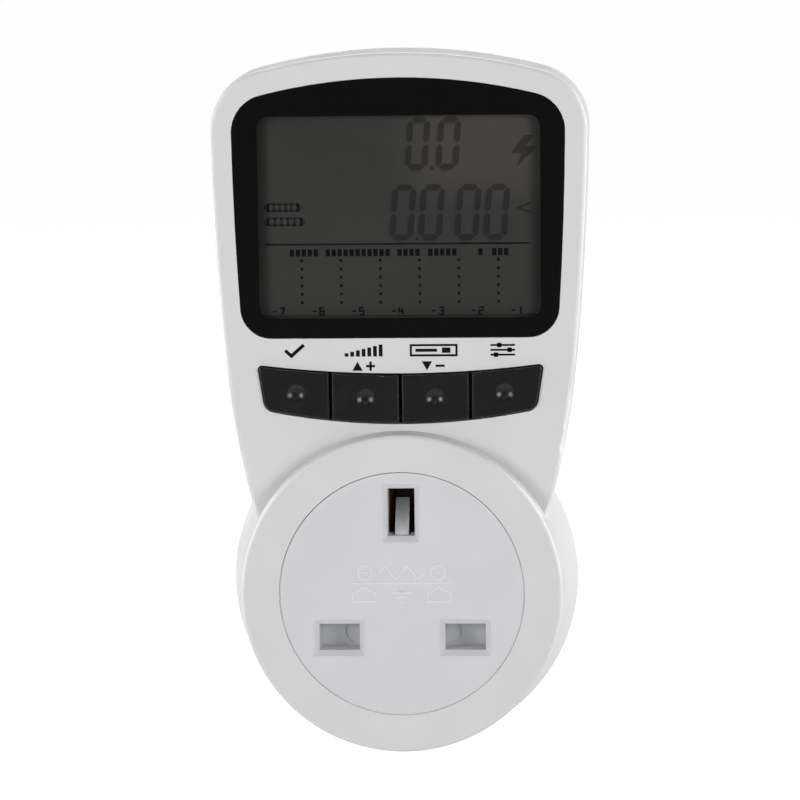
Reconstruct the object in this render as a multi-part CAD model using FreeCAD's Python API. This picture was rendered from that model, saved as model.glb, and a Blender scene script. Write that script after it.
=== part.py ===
import FreeCAD, Part
import math
import os

# Plug-in power meter for BS 1363 outlets: a display body that tapers down into a round base with
# a shuttered socket on its front and three pins on its back.
# Frame, in mm: X to the viewer's right, Y into the wall, Z up. The origin is on the axis of the
# round base, in the rear face that rests on the wall outlet, so the whole case has negative Y.

# Planes along the depth
RING_Y = -40.0          # flat ring around the socket, where an appliance plug seats
FACE_Y = -36.0          # flat face of the display body
PARTING_Y = -22.0       # joint between the front and the rear housing
BACK_Y = -12.0          # back of the display body, which stays clear of the outlet's switch

# BS 1363 pin pattern and pin sizes
PIN_HALF_PITCH = 11.115     # line and neutral stand this far each side of the centre line
PIN_ROW_Z = -7.75
EARTH_Z = PIN_ROW_Z + 22.23
LIVE_PIN = (6.35, 3.97)     # width and height
LIVE_PIN_LENGTH = 17.7
EARTH_PIN = (3.97, 7.95)
EARTH_PIN_LENGTH = 22.7
PIN_SLEEVE_LENGTH = 9.0
PIN_SLEEVE_WALL = 0.6
LIVE_APERTURE = (7.15, 4.7)
EARTH_APERTURE = (4.75, 8.5)
APERTURE_CHAMFER = 0.95

# Display body outline at the parting plane
TOP_Z = 95.2
TOP_RADIUS = 100.0
CORNER_RADIUS = 11.0
SIDE_RADIUS = 600.0         # long gentle curve of the upper sides
WAIST_RADIUS = 165.0        # tighter curve of the sides down to the base
SHOULDER_X = 33.4           # half width at SHOULDER_Z
SHOULDER_Z = 80.0
SHOULDER_SLOPE = 0.025      # lean of the side there, radians
WAIST_START = 0.091         # lean where the tighter curve takes over
WAIST_END = 0.303           # lean where the outline ends inside the base
FACE_DRAFT = 0.45
FACE_ROUNDING = 0.8
BACK_DRAFT = 0.9
BACK_ROUNDING = 1.5

# Round base
RING_RADIUS = 28.3
RING_ROUNDING = 0.7
BASE_WAIST_RADIUS = 29.2    # halfway between the ring and the parting plane
BASE_RADIUS = 31.0
REAR_RADIUS = 29.4
REAR_ROUNDING = 1.2

# Walls
OVERSHOOT = 1.0             # how far a cutting shape runs past what it cuts
WALL = 2.0
RING_WALL = 2.5
FLOOR_WALL = 2.5
GROOVE_DEPTH = 0.35         # shadow line between the two housings
GROOVE_WIDTH = 0.4
TONGUE_HEIGHT = 2.0
TONGUE_THICKNESS = 1.0
TONGUE_GAP = 0.15
TONGUE_ROOT = 1.2           # how far the tongue runs on behind the seam, joined to the wall
LIP_REACH = 0.7             # how far the tongue's root reaches into the wall
BASE_LEAN = 0.5             # the base's inner wall comes in this much over the tongue's height

# Display window and what is behind it
WINDOW_TOP_Z = 90.45
WINDOW_BOTTOM_Z = 44.9
WINDOW_HALF_TOP = 29.15
WINDOW_HALF_BOTTOM = 27.65
WINDOW_BULGE = 0.42         # how far the window's sides bow out at half height
WINDOW_CORNERS = (5.5, 6.7)   # lower, upper
WINDOW_THICKNESS = 1.2
WINDOW_RECESS = 1.3
WINDOW_GAP = 0.1
WINDOW_CHAMFER = 0.15
VIEW_HALF_WIDTH = 25.2
VIEW_Z = (47.8, 84.4)
GLASS_HALF_WIDTH = 26.4
GLASS_Z = (46.4, 85.0)
GLASS_Y = (-33.9, -31.7)
GLASS_LEDGE = 2.4           # the rear plate is this much taller, for the contacts
REFLECTOR_HALF_WIDTH = 25.5
REFLECTOR_Z = (50.4, 84.4)
REFLECTOR_THICKNESS = 0.3
FRAME_RIM = 0.9
FRAME_SLACK = 0.1
FRAME_VIEW_HALF_WIDTH = 25.7
FRAME_VIEW_Z = (47.0, 84.6)
ZEBRA_HALF_LENGTH = 24.0
ZEBRA_Z = (47.4, 49.6)
LABEL_RECESS = ((-15.0, 15.0), (42.0, 76.0))    # x and z spans on the back of the display body
LABEL_RECESS_DEPTH = 0.4

# Boards: each is a few rectangles given as x and z spans
BOARD_THICKNESS = 1.6
DISPLAY_BOARD_Y = -28.6
DISPLAY_BOARD = [((-26.4, 26.4), (42.0, 85.8)), ((-25.4, 25.4), (31.6, 43.0)), ((-15.5, 15.5), (85.0, 90.8))]
METERING_BOARD_Y = -17.0
METERING_BOARD = [((-24.5, 24.5), (44.0, 84.4)), ((-23.0, 23.0), (36.0, 45.0))]

# Components: places are (x, z), and heights are above their board
CONTROLLER = (-8.0, 66.0)
CONTROLLER_RADIUS = 9.0
CONTROLLER_DOME = 14.0      # radius of the epoxy drop's surface
CONTROLLER_HEIGHT = 1.8
BATTERY = (12.0, 66.0)
BATTERY_RADIUS = 7.8
BATTERY_LIFT = 0.4
BATTERY_HEIGHT = 4.2
BATTERY_ROUNDING = 0.6
CLIP_HALF_WIDTH = 2.0
CLIP_HALF_LENGTH = 9.2
CLIP_THICKNESS = 0.4
HEADER_Z = 80.25
HEADER_BAR = (15.2, 2.5, 2.5)       # width, depth and height
HEADER_PITCH = 2.54
HEADER_PIN = 0.64
HEADER_PINS = 6
METERING_CHIP = (-12.0, 71.0, 12.8, 7.5, 2.2, 10)       # x, z, width, height, thickness, legs in a row
BRIDGE_RECTIFIER = (12.0, 64.5, 8.4, 6.4, 2.4, 2)
MEMORY_CHIP = (-9.0, 62.5, 4.9, 3.9, 1.5, 4)
CHIP_LIFT = 0.2
CHIP_LEG = (0.4, 1.0)       # width and reach
FILM_CAPACITOR = ((-15.5, 2.0), (37.4, 45.4))
FILM_CAPACITOR_HEIGHT = 7.6
FILM_CAPACITOR_ROUNDING = 0.5
ELECTROLYTIC = (-21.0, 54.0)        # left end of its axis
ELECTROLYTIC_RADIUS = 3.15
ELECTROLYTIC_LENGTH = 11.0
ELECTROLYTIC_LIFT = 0.1
VARISTOR = (11.0, 45.0)
VARISTOR_RADIUS = 5.0
VARISTOR_HEIGHT = 4.0
VARISTOR_ROUNDING = 1.2
CRYSTAL = ((6.0, 15.0), (72.5, 76.1))
CRYSTAL_HEIGHT = 3.6
CRYSTAL_ROUNDING = 1.2
FUSIBLE_X = (7.0, 16.0)
FUSIBLE_Z = 57.5
FUSIBLE_RADIUS = 1.6
FUSIBLE_LIFT = 1.7
FUSIBLE_LEAD = 0.6
FUSIBLE_BEND = 1.7          # how far each lead runs on before it turns to the board

# Keys: four caps side by side in one curved slot
KEY_HALF_SPAN = 24.85       # at KEY_SPAN_Z
KEY_SPAN_Z = 39.5
KEY_SIDE_LEAN = 0.155
KEY_TOP_Z = 38.45
KEY_TOP_RADIUS = 197.0
KEY_BOTTOM_Z = 29.95
KEY_BOTTOM_RADIUS = 118.0
KEY_PITCH = 12.3
KEY_GAP = 0.44
KEY_CLEARANCE = 0.25
KEY_PROUD = 0.7
KEY_FLANGE = 0.9
KEY_FLANGE_THICKNESS = 0.9
KEY_CORNERS = (2.0, 0.5)    # lower and upper corners of the row
KEY_ROUNDING = 0.3
KEY_STEM_RADIUS = 1.8
KEY_SLACK = 0.05
DIMPLE_RADIUS = 1.6
DIMPLE_DEPTH = 0.5
KEYS = {"ok": (-18.3, 35.3), "value": (-6.1, 34.5), "display": (6.1, 34.5), "set": (18.3, 35.3)}
SWITCH_SIZE = 6.0
SWITCH_HEIGHT = 3.3
PLUNGER_RADIUS = 1.6
PLUNGER_PROUD = 0.75
PLUNGER_SLACK = 0.2
PLUNGER_INSIDE = 0.8        # how far the plunger reaches into its switch
PLUNGER_WELL = 1.5

# Socket, shutter and contacts
INSERT_RADIUS = 21.6
INSERT_GAP = 0.02           # round the disc in the ring's hole
INSERT_RISE = 0.15          # the hole runs this much higher, so the disc sits at its foot
INSERT_Y = -39.7            # set back a little from the ring
INSERT_THICKNESS = 2.6
INSERT_EDGE = 0.04          # broken edge of the disc
INSERT_NECK = 1.2
INSERT_FLANGE_RADIUS = 23.0
INSERT_FLANGE_WIDTH = 2.0
INSERT_SEAT_GAP = 0.05      # between the flange and the back of the ring
COLLAR_Y = -34.9
COLLAR_WALL = 1.3           # round each aperture
GUIDE_X = (16.3, 17.7)      # rails beside the shutter
GUIDE_Z = (-14.0, -1.5)
SPRING_SHELF = (2.6, 1.3)   # half width and thickness
SHUTTER_Y = (-34.7, -32.9)
SHUTTER_HALF_WIDTH = 15.9
SHUTTER_Z = (-11.6, -3.9)
SHUTTER_WEB_HALF_WIDTH = 4.6
SHUTTER_WEB_TOP_Z = 9.6
SHUTTER_SLACK = 0.1
WING_SETBACK = 0.8          # the wings are thinner than the web, on their front
RAMP_FRONT_Y = -36.9        # the ramp's foot, close behind the disc
RAMP_SLACK = 0.3            # each side of the ramp, in the notch in the earth collar
RAMP_ROOT_Z = 8.6           # where the earth ramp grows out of the shutter
RAMP_TIP_Y = -31.9
RAMP_TOP_Z = 16.1
RAMP_TIP_DEPTH = 2.6
RAMP_HALF_WIDTH = 1.2
EJECTOR_MARK = 1.95         # radius of the round mould marks in the shutter's wings
EJECTOR_X = 8.4
EJECTOR_DEPTH = 0.3
SPRING_SEAT_Z = -21.4
SPRING_RADIUS = 0.85
SPRING_WIRE = 0.15
SPRING_TURNS = 6
SPRING_SLACK = 0.02
CARRIER_Y = (-32.6, -30.6)
CARRIER_RADIUS = 22.3
CARRIER_RIM = 1.2
CARRIER_RIM_Y = -26.0
CARRIER_LIVE_HOLE = (7.6, 5.2)
CARRIER_EARTH_HOLE = (5.2, 9.2)
CARRIER_RAMP_SLOT = ((-1.8, 1.8), (2.0, EARTH_Z))
CARRIER_BOSS_RADIUS = 2.0
LEAF_FRONT_Y = -29.8
LIVE_CONTACT_Y = -18.4
EARTH_CONTACT_Y = -14.4
STRIP = 0.8
LEAF = 0.6
LEAF_GAP = 3.5
LEAF_FLARE = 0.6            # the leaves' mouths lean out over this depth
LIVE_LEAF_WIDTH = 5.2
EARTH_LEAF_WIDTH = 6.4
LIVE_STRIP_Z = (PIN_ROW_Z - 2.0, PIN_ROW_Z + 2.0)
TAB_X = (8.515, 15.515)     # tab of a live contact
RISER_X = 14.315            # inner face of a live strip's riser
FOOT_LINK = 0.6             # how far a riser's foot reaches inwards
STRIP_FOOT = (6.4, 5.2)
EARTH_RISER_Z = 19.08
EARTH_STRIP_HALF = 2.0
EARTH_TAB_Z = 11.48
SHUNT_LOW_Y = -12.0
SHUNT_TRIM = 1.2            # the notch starts this far from each end
SHUNT_NOTCH = 1.0           # what is left above the notch
LEAD_RADIUS = 0.8
LEAD_START_Y = -9.5
LEAD_BEND = (-17.0, 20.0)   # depth and height where the lead leans over to the board
LEAD_END_X = 17.0
LEAD_END_Z = (36.5, 38.5)

# Pin fixing
CLAMP_Y = (-6.5, -4.5)
CLAMP_PLATES = [((-17.0, 17.0), (-12.6, -3.2)), ((-5.6, 5.6), (-4.0, 20.6))]     # x and z spans
SHANK_RADIUS = 2.0
RIVET_Y = -8.5
RIVET_HEAD = 0.6            # what the rivet's head adds to the shank's radius
PIN_FLANGE = (2.4, 2.2)     # what the flange adds to the pin's width and height
PIN_TAPER = 0.8             # what the tip loses from each side
PIN_TAPER_DEPTH = 2.2
PIN_OVERLAP = 0.5           # how far the neck runs into what it joins

# Screws
POSTS = [(-20.0, 88.3), (20.0, 88.3), (-22.5, -12.0), (22.5, -12.0)]
POST_RADIUS = 2.3
POST_GAP = 0.2
POST_END_Y = -19.5
WELL_RADIUS = 2.5
WELL_WALL = 1.0
WELL_FLOOR = 1.5
WELL_LIMIT = (0.3, 29.0)    # wells stay this far inside the body, and within this radius of the base
WELL_LIMIT_DEPTH = 3.0
BOARD_POST_RADIUS = 1.9
METERING_BOSS_RADIUS = 2.5
CLAMP_BOSS_RADIUS = 2.2
DISPLAY_BOARD_SCREWS = [(-22.0, 43.4), (22.0, 43.4), (-12.0, 88.8), (12.0, 88.8)]
METERING_BOARD_SCREWS = [(-20.5, 40.0), (20.5, 40.0), (-20.5, 80.0), (20.5, 80.0)]
CARRIER_SCREWS = [(-15.0, 8.0), (15.0, 8.0)]
CLAMP_SCREWS = [(0.0, -8.5), (0.0, 4.0)]
# Each screw's head radius, shank radius and length; the shank of a screw fills its pilot hole
HOUSING_SCREW = (2.3, 1.4, 10.0)
DISPLAY_SCREW = (1.8, 1.0, 5.4)
METERING_SCREW = (1.8, 1.0, 3.9)
CARRIER_SCREW = (1.8, 0.9, 6.0)
CLAMP_SCREW = (1.8, 1.0, 5.2)
SCREW_PLAY = 0.2            # what a clearance hole adds to the shank's radius
SCREW_HEAD_RATIO = 0.65     # head height over its radius

V = FreeCAD.Vector
CORNERS = [(-1, -1), (1, -1), (1, 1), (-1, 1)]      # signs of a rectangle's corners, in turn


# Basic shapes

def box(x, y, z):
    """A box from three (low, high) pairs."""
    return Part.makeBox(x[1] - x[0], y[1] - y[0], z[1] - z[0], V(x[0], y[0], z[0]))


def centred(x, z, width, height, y):
    """A box of the given width and height about (x, z), between the depths y."""
    return box((x - width / 2, x + width / 2), y, (z - height / 2, z + height / 2))


def rod(radius, y, x=0.0, z=0.0):
    """A cylinder along the depth."""
    return Part.makeCylinder(radius, y[1] - y[0], V(x, y[0], z), V(0, 1, 0))


def prism(points, y):
    """A straight prism whose (x, z) outline is given, between the depths y."""
    corners = [V(x, y[0], z) for x, z in points]
    return Part.Face(Part.makePolygon(corners + corners[:1])).extrude(V(0, y[1] - y[0], 0))


def side_prism(points, x):
    """A straight prism whose (y, z) outline is given, between the widths x."""
    corners = [V(x[0], y, z) for y, z in points]
    return Part.Face(Part.makePolygon(corners + corners[:1])).extrude(V(x[1] - x[0], 0, 0))


def turned(edges):
    """A solid of revolution about the base's axis from edges drawn at z = 0, with x as radius."""
    return Part.Face(Part.Wire(edges)).revolve(V(0, 0, 0), V(0, 1, 0), 360)


def turned_profile(corners):
    """Straight edges round a closed (radius, y) outline."""
    points = [V(r, y, 0) for r, y in corners]
    return [Part.LineSegment(a, b).toShape() for a, b in zip(points, points[1:] + points[:1])]


def edges_at(solid, y):
    """Edges that lie in one plane of the depth."""
    return [e for e in solid.Edges if abs(e.BoundBox.YMin - y) < 1e-4 and abs(e.BoundBox.YMax - y) < 1e-4]


def edges_along_depth(solid):
    """Straight edges that run along the depth."""
    return [e for e in solid.Edges if e.BoundBox.XLength < 1e-4 and e.BoundBox.ZLength < 1e-4]


def plates(spans, y):
    """Rectangles given as x and z spans, joined into one plate."""
    return fused(*[box(x, y, z) for x, z in spans])


def fused(first, *others):
    return first.multiFuse(list(others)).removeSplitter()


def cut_all(solid, tools):
    return solid.cut(tools[0].multiFuse(tools[1:]))


def save(name, shape):
    solids = shape.Solids
    shape = solids[0] if len(solids) == 1 else Part.makeCompound(solids)
    assert solids and shape.isValid(), name
    shape.exportStep("parts/" + name + ".step")


# Display body outline

def tangent_centre(c1, r1, c2, r2, r):
    """Centre of a circle of radius r that touches two larger circles from inside, on the right."""
    d1, d2 = r1 - r, r2 - r
    dx, dz = c2[0] - c1[0], c2[1] - c1[1]
    gap = math.hypot(dx, dz)
    along = (d1 * d1 - d2 * d2 + gap * gap) / (2 * gap)
    across = math.sqrt(d1 * d1 - along * along)
    foot = (c1[0] + along * dx / gap, c1[1] + along * dz / gap)
    ends = [(foot[0] + s * across * dz / gap, foot[1] - s * across * dx / gap) for s in (1, -1)]
    return max(ends)


def right_arcs():
    """Arcs of the outline's right half from the top down: centre, radius, first and last angle."""
    top = (0.0, TOP_Z - TOP_RADIUS)
    side = (SHOULDER_X - SIDE_RADIUS * math.cos(SHOULDER_SLOPE),
            SHOULDER_Z + SIDE_RADIUS * math.sin(SHOULDER_SLOPE))
    corner = tangent_centre(top, TOP_RADIUS, side, SIDE_RADIUS, CORNER_RADIUS)
    step = SIDE_RADIUS - WAIST_RADIUS
    waist = (side[0] + step * math.cos(WAIST_START), side[1] - step * math.sin(WAIST_START))
    top_end = math.atan2(corner[1] - top[1], corner[0] - top[0])
    corner_end = math.atan2(corner[1] - side[1], corner[0] - side[0])
    return [
        (top, TOP_RADIUS, math.pi / 2, top_end),
        (corner, CORNER_RADIUS, top_end, corner_end),
        (side, SIDE_RADIUS, corner_end, -WAIST_START),
        (waist, WAIST_RADIUS, -WAIST_START, -WAIST_END),
    ]


def outline(inset, y):
    """Closed wire of the display body, moved inwards by inset. Its foot lies inside the base."""
    right, left = [], []
    for (cx, cz), radius, first, last in right_arcs():
        r = radius - inset
        angles = (first, (first + last) / 2, last)
        ends = [V(cx + r * math.cos(a), y, cz + r * math.sin(a)) for a in angles]
        right.append(Part.Arc(*ends).toShape())
        left.insert(0, Part.Arc(*[V(-p.x, p.y, p.z) for p in reversed(ends)]).toShape())
        foot = ends[-1]
    base = Part.LineSegment(foot, V(-foot.x, foot.y, foot.z)).toShape()
    return Part.Wire(right + [base] + left)


def body(inset_a, y_a, inset_b, y_b):
    return Part.makeLoft([outline(inset_a, y_a), outline(inset_b, y_b)], True, True)


def base_disc(radius_a, y_a, radius_b, y_b):
    return turned(turned_profile([(0, y_a), (radius_a, y_a), (radius_b, y_b), (0, y_b)]))


# Housings

def front_base():
    """Flared round base: flat ring with a rounded edge, then a concave flare to the parting plane."""
    edge = RING_RADIUS - RING_ROUNDING
    slant = RING_ROUNDING * math.sqrt(0.5)
    start = V(0, RING_Y, 0)
    ring = V(edge, RING_Y, 0)
    bend = V(edge + slant, RING_Y + RING_ROUNDING - slant, 0)
    wall = V(RING_RADIUS, RING_Y + RING_ROUNDING, 0)
    middle = V(BASE_WAIST_RADIUS, (RING_Y + PARTING_Y) / 2, 0)
    foot = V(BASE_RADIUS, PARTING_Y, 0)
    centre = V(0, PARTING_Y, 0)
    return turned([
        Part.LineSegment(start, ring).toShape(),
        Part.Arc(ring, bend, wall).toShape(),
        Part.Arc(wall, middle, foot).toShape(),
        Part.LineSegment(foot, centre).toShape(),
        Part.LineSegment(centre, start).toShape(),
    ])


def window_block(inset, y):
    """Window outline: leaning, slightly bowed sides, arched top, rounded corners."""
    low, high = WINDOW_BOTTOM_Z + inset, WINDOW_TOP_Z
    wide, narrow = WINDOW_HALF_TOP - inset, WINDOW_HALF_BOTTOM - inset
    middle = V((wide + narrow) / 2 + WINDOW_BULGE, y[0], (low + high) / 2)
    corners = [V(narrow, y[0], low), V(wide, y[0], high), V(-wide, y[0], high), V(-narrow, y[0], low)]
    wire = Part.Wire([
        Part.Arc(corners[0], middle, corners[1]).toShape(),
        Part.LineSegment(corners[1], corners[2]).toShape(),
        Part.Arc(corners[2], V(-middle.x, middle.y, middle.z), corners[3]).toShape(),
        Part.LineSegment(corners[3], corners[0]).toShape(),
    ])
    block = Part.Face(wire).extrude(V(0, y[1] - y[0], 0))
    block = block.common(rod(TOP_RADIUS - inset, y, 0, WINDOW_TOP_Z - TOP_RADIUS))
    split = (low + high) / 2
    lower = [e for e in edges_along_depth(block) if e.BoundBox.ZMax < split]
    upper = [e for e in edges_along_depth(block) if e.BoundBox.ZMax >= split]
    return block.makeFillet(WINDOW_CORNERS[0] - inset, lower).makeFillet(WINDOW_CORNERS[1] - inset, upper)


def key_band(outset, y):
    """The curved strip that the four keys fill, grown by outset."""
    low, high = KEY_BOTTOM_Z - 1.0, KEY_SPAN_Z + 3.0
    bottom, top = [KEY_HALF_SPAN + outset + KEY_SIDE_LEAN * (z - KEY_SPAN_Z) for z in (low, high)]
    block = prism([(-bottom, low), (bottom, low), (top, high), (-top, high)], y)
    block = block.common(rod(KEY_BOTTOM_RADIUS + outset, y, 0, KEY_BOTTOM_Z + KEY_BOTTOM_RADIUS))
    block = block.cut(rod(KEY_TOP_RADIUS - outset, y, 0, KEY_TOP_Z + KEY_TOP_RADIUS))
    split = (KEY_TOP_Z + KEY_BOTTOM_Z) / 2
    lower = [e for e in edges_along_depth(block) if e.BoundBox.ZMax < split]
    upper = [e for e in edges_along_depth(block) if e.BoundBox.ZMax >= split]
    return block.makeFillet(KEY_CORNERS[0] + outset, lower).makeFillet(KEY_CORNERS[1] + outset, upper)


def pilots(screw_size, places, y):
    """Holes that a kind of screw cuts its thread in."""
    return [rod(screw_size[1], y, x, z) for x, z in places]


def clearances(screw_size, places, y):
    """Holes that a kind of screw passes through."""
    return [rod(screw_size[1] + SCREW_PLAY, y, x, z) for x, z in places]


def posts(y):
    return [rod(POST_RADIUS, y, x, z) for x, z in POSTS]


def front_housing():
    shell = body(0.0, PARTING_Y, FACE_DRAFT, FACE_Y)
    shell = shell.makeFillet(FACE_ROUNDING, edges_at(shell, FACE_Y))
    shell = fused(shell, front_base())
    hollow = body(WALL, PARTING_Y + 1, WALL + FACE_DRAFT, FACE_Y + WALL)
    base_hollow = base_disc(RING_RADIUS - WALL, RING_Y + RING_WALL, BASE_RADIUS - WALL, PARTING_Y + 0.01)
    shell = shell.cut(hollow.fuse(base_hollow))
    inner = posts((FACE_Y + WALL / 2, POST_END_Y))[:2] + posts((RING_Y + RING_WALL / 2, POST_END_Y))[2:]
    board_y = (FACE_Y + WALL / 2, DISPLAY_BOARD_Y)
    board_posts = [rod(BOARD_POST_RADIUS, board_y, x, z) for x, z in DISPLAY_BOARD_SCREWS]
    shell = fused(shell, *inner, *board_posts)
    tools = [
        window_block(0.0, (FACE_Y - 1, FACE_Y + WINDOW_RECESS)),
        box((-VIEW_HALF_WIDTH, VIEW_HALF_WIDTH), (FACE_Y, FACE_Y + WALL + 1), VIEW_Z),
        key_band(KEY_CLEARANCE, (FACE_Y - 1, FACE_Y + WALL + 1)),
    ]
    tools += [rod(INSERT_RADIUS + INSERT_GAP, (RING_Y - 1, RING_Y + RING_WALL + 1), 0, rise)
              for rise in (0, INSERT_RISE)]
    tools += pilots(HOUSING_SCREW, POSTS, (POST_END_Y - 9, POST_END_Y + OVERSHOOT))
    tools += pilots(DISPLAY_SCREW, DISPLAY_BOARD_SCREWS, (DISPLAY_BOARD_Y - 4, DISPLAY_BOARD_Y + OVERSHOOT))
    return cut_all(shell, tools)


def lip_ring(outer, inner, y):
    """Closed band between two insets of the case, round the display body and the base."""
    rims = [body(i, y[0], i, y[1]).fuse(rod(BASE_RADIUS - BASE_LEAN - i, y)) for i in (outer, inner)]
    return rims[0].cut(rims[1])


def rear_wells(radius, to_y):
    """Screw wells: the display body's open at its back, the base's at the wall face."""
    ends = [BACK_Y, BACK_Y, 0.0, 0.0]
    return [rod(radius, (to_y, end), x, z) for (x, z), end in zip(POSTS, ends)]


def rear_base():
    edge = REAR_RADIUS - REAR_ROUNDING
    slant = REAR_ROUNDING * math.sqrt(0.5)
    front = PARTING_Y + GROOVE_WIDTH
    corners = [V(0, front, 0), V(BASE_RADIUS, front, 0), V(REAR_RADIUS, -REAR_ROUNDING, 0)]
    bend = V(edge + slant, -REAR_ROUNDING + slant, 0)
    wall = V(edge, 0, 0)
    edges = [Part.LineSegment(a, b).toShape() for a, b in zip(corners, corners[1:])]
    edges.append(Part.Arc(corners[-1], bend, wall).toShape())
    edges.append(Part.LineSegment(wall, V(0, 0, 0)).toShape())
    edges.append(Part.LineSegment(V(0, 0, 0), corners[0]).toShape())
    return turned(edges)


def rear_housing():
    seam = PARTING_Y + GROOVE_WIDTH
    shell = body(0.0, seam, BACK_DRAFT, BACK_Y)
    shell = shell.makeFillet(BACK_ROUNDING, edges_at(shell, BACK_Y))
    groove = body(GROOVE_DEPTH, PARTING_Y, GROOVE_DEPTH, seam)
    groove_base = base_disc(BASE_RADIUS - GROOVE_DEPTH, PARTING_Y, BASE_RADIUS - GROOVE_DEPTH, seam)
    shell = fused(shell, groove, rear_base(), groove_base)
    hollow = body(WALL, PARTING_Y - 1, WALL + BACK_DRAFT, BACK_Y - WALL)
    base_hollow = base_disc(BASE_RADIUS - WALL, PARTING_Y - 1, REAR_RADIUS - WALL, -FLOOR_WALL)
    shell = shell.cut(hollow.fuse(base_hollow))

    inner = WALL + TONGUE_GAP + TONGUE_THICKNESS
    tongue = lip_ring(WALL + TONGUE_GAP, inner, (PARTING_Y - TONGUE_HEIGHT, seam))
    root = lip_ring(WALL - LIP_REACH, inner, (seam, seam + TONGUE_ROOT))

    tubes = rear_wells(WELL_RADIUS + WELL_WALL, POST_END_Y)
    tubes = [t.common(well_limit()) for t in tubes]
    bosses = [rod(METERING_BOSS_RADIUS, (METERING_BOARD_Y + BOARD_THICKNESS, BACK_Y - WALL / 2), x, z)
              for x, z in METERING_BOARD_SCREWS]
    bosses += [rod(CLAMP_BOSS_RADIUS, (CLAMP_Y[1], -FLOOR_WALL / 2), x, z) for x, z in CLAMP_SCREWS]
    shell = fused(shell, tongue, root, *tubes, *bosses)

    tools = rear_wells(WELL_RADIUS, POST_END_Y + WELL_FLOOR)
    tools = [t.fuse(t.translated(V(0, OVERSHOOT, 0))) for t in tools]
    tongue_y = (PARTING_Y - TONGUE_HEIGHT - OVERSHOOT, POST_END_Y)
    tools += [rod(POST_RADIUS + POST_GAP, tongue_y, x, z) for x, z in POSTS]
    tools += clearances(HOUSING_SCREW, POSTS, (POST_END_Y - OVERSHOOT, POST_END_Y + WELL_FLOOR + OVERSHOOT))
    tools += pilots(METERING_SCREW, METERING_BOARD_SCREWS, (METERING_BOARD_Y, BACK_Y - WALL / 2))
    tools += pilots(CLAMP_SCREW, CLAMP_SCREWS, (CLAMP_Y[1] - OVERSHOOT, -FLOOR_WALL / 2))
    for x in (-PIN_HALF_PITCH, PIN_HALF_PITCH):
        tools.append(centred(x, PIN_ROW_Z, *LIVE_PIN, (-FLOOR_WALL - OVERSHOOT, OVERSHOOT)))
    tools.append(centred(0, EARTH_Z, *EARTH_PIN, (-FLOOR_WALL - OVERSHOOT, OVERSHOOT)))
    label_x, label_z = LABEL_RECESS
    tools.append(box(label_x, (BACK_Y - LABEL_RECESS_DEPTH, BACK_Y + OVERSHOOT), label_z))
    return cut_all(shell, tools)


def well_limit():
    """The room that the screw wells may fill, inside the outer faces of the rear housing."""
    seam = PARTING_Y + GROOVE_WIDTH
    start = PARTING_Y - WELL_LIMIT_DEPTH
    inset, radius = WELL_LIMIT
    ahead = body(WALL, start, WALL, seam).fuse(base_disc(radius, start, radius, seam))
    return body(inset, seam, BACK_DRAFT, BACK_Y).fuse(rear_base()).fuse(ahead)


# Display stack

def display_window():
    block = window_block(WINDOW_GAP, (FACE_Y + WINDOW_RECESS - WINDOW_THICKNESS, FACE_Y + WINDOW_RECESS))
    return block.makeChamfer(WINDOW_CHAMFER, edges_at(block, FACE_Y + WINDOW_RECESS - WINDOW_THICKNESS))


def lcd_glass():
    """Two plates; the rear one runs on below the front one to carry the contacts."""
    x = (-GLASS_HALF_WIDTH, GLASS_HALF_WIDTH)
    half = (GLASS_Y[0] + GLASS_Y[1]) / 2
    front = box(x, (GLASS_Y[0], half), (GLASS_Z[0] + GLASS_LEDGE, GLASS_Z[1]))
    return fused(front, box(x, (half, GLASS_Y[1]), GLASS_Z))


def lcd_reflector():
    """Thin reflecting sheet behind the glass; it leaves the contact ledge free."""
    y = (GLASS_Y[1], GLASS_Y[1] + REFLECTOR_THICKNESS)
    return box((-REFLECTOR_HALF_WIDTH, REFLECTOR_HALF_WIDTH), y, REFLECTOR_Z)


def lcd_frame():
    """Frame between the face and the display board, with a pocket for the glass."""
    y = (FACE_Y + WALL, DISPLAY_BOARD_Y)
    half = GLASS_HALF_WIDTH + FRAME_RIM
    pocket = GLASS_HALF_WIDTH + FRAME_SLACK
    outer = box((-half, half), y, (GLASS_Z[0] - FRAME_RIM, GLASS_Z[1] + FRAME_RIM))
    glass = box((-pocket, pocket), (y[0] - OVERSHOOT, GLASS_Y[1]),
                (GLASS_Z[0] - FRAME_SLACK, GLASS_Z[1] + FRAME_SLACK))
    behind = box((-FRAME_VIEW_HALF_WIDTH, FRAME_VIEW_HALF_WIDTH), (y[0], y[1] + OVERSHOOT), FRAME_VIEW_Z)
    return outer.cut(glass.fuse(behind))


def zebra_strip():
    """Rubber strip that joins the glass's ledge to the display board."""
    return box((-ZEBRA_HALF_LENGTH, ZEBRA_HALF_LENGTH), (GLASS_Y[1], DISPLAY_BOARD_Y), ZEBRA_Z)


def display_board():
    front, rear = DISPLAY_BOARD_Y, DISPLAY_BOARD_Y + BOARD_THICKNESS
    holes = clearances(DISPLAY_SCREW, DISPLAY_BOARD_SCREWS, (front - OVERSHOOT, rear + OVERSHOOT))
    return cut_all(plates(DISPLAY_BOARD, (front, rear)), holes)


# Keys and their switches

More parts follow.
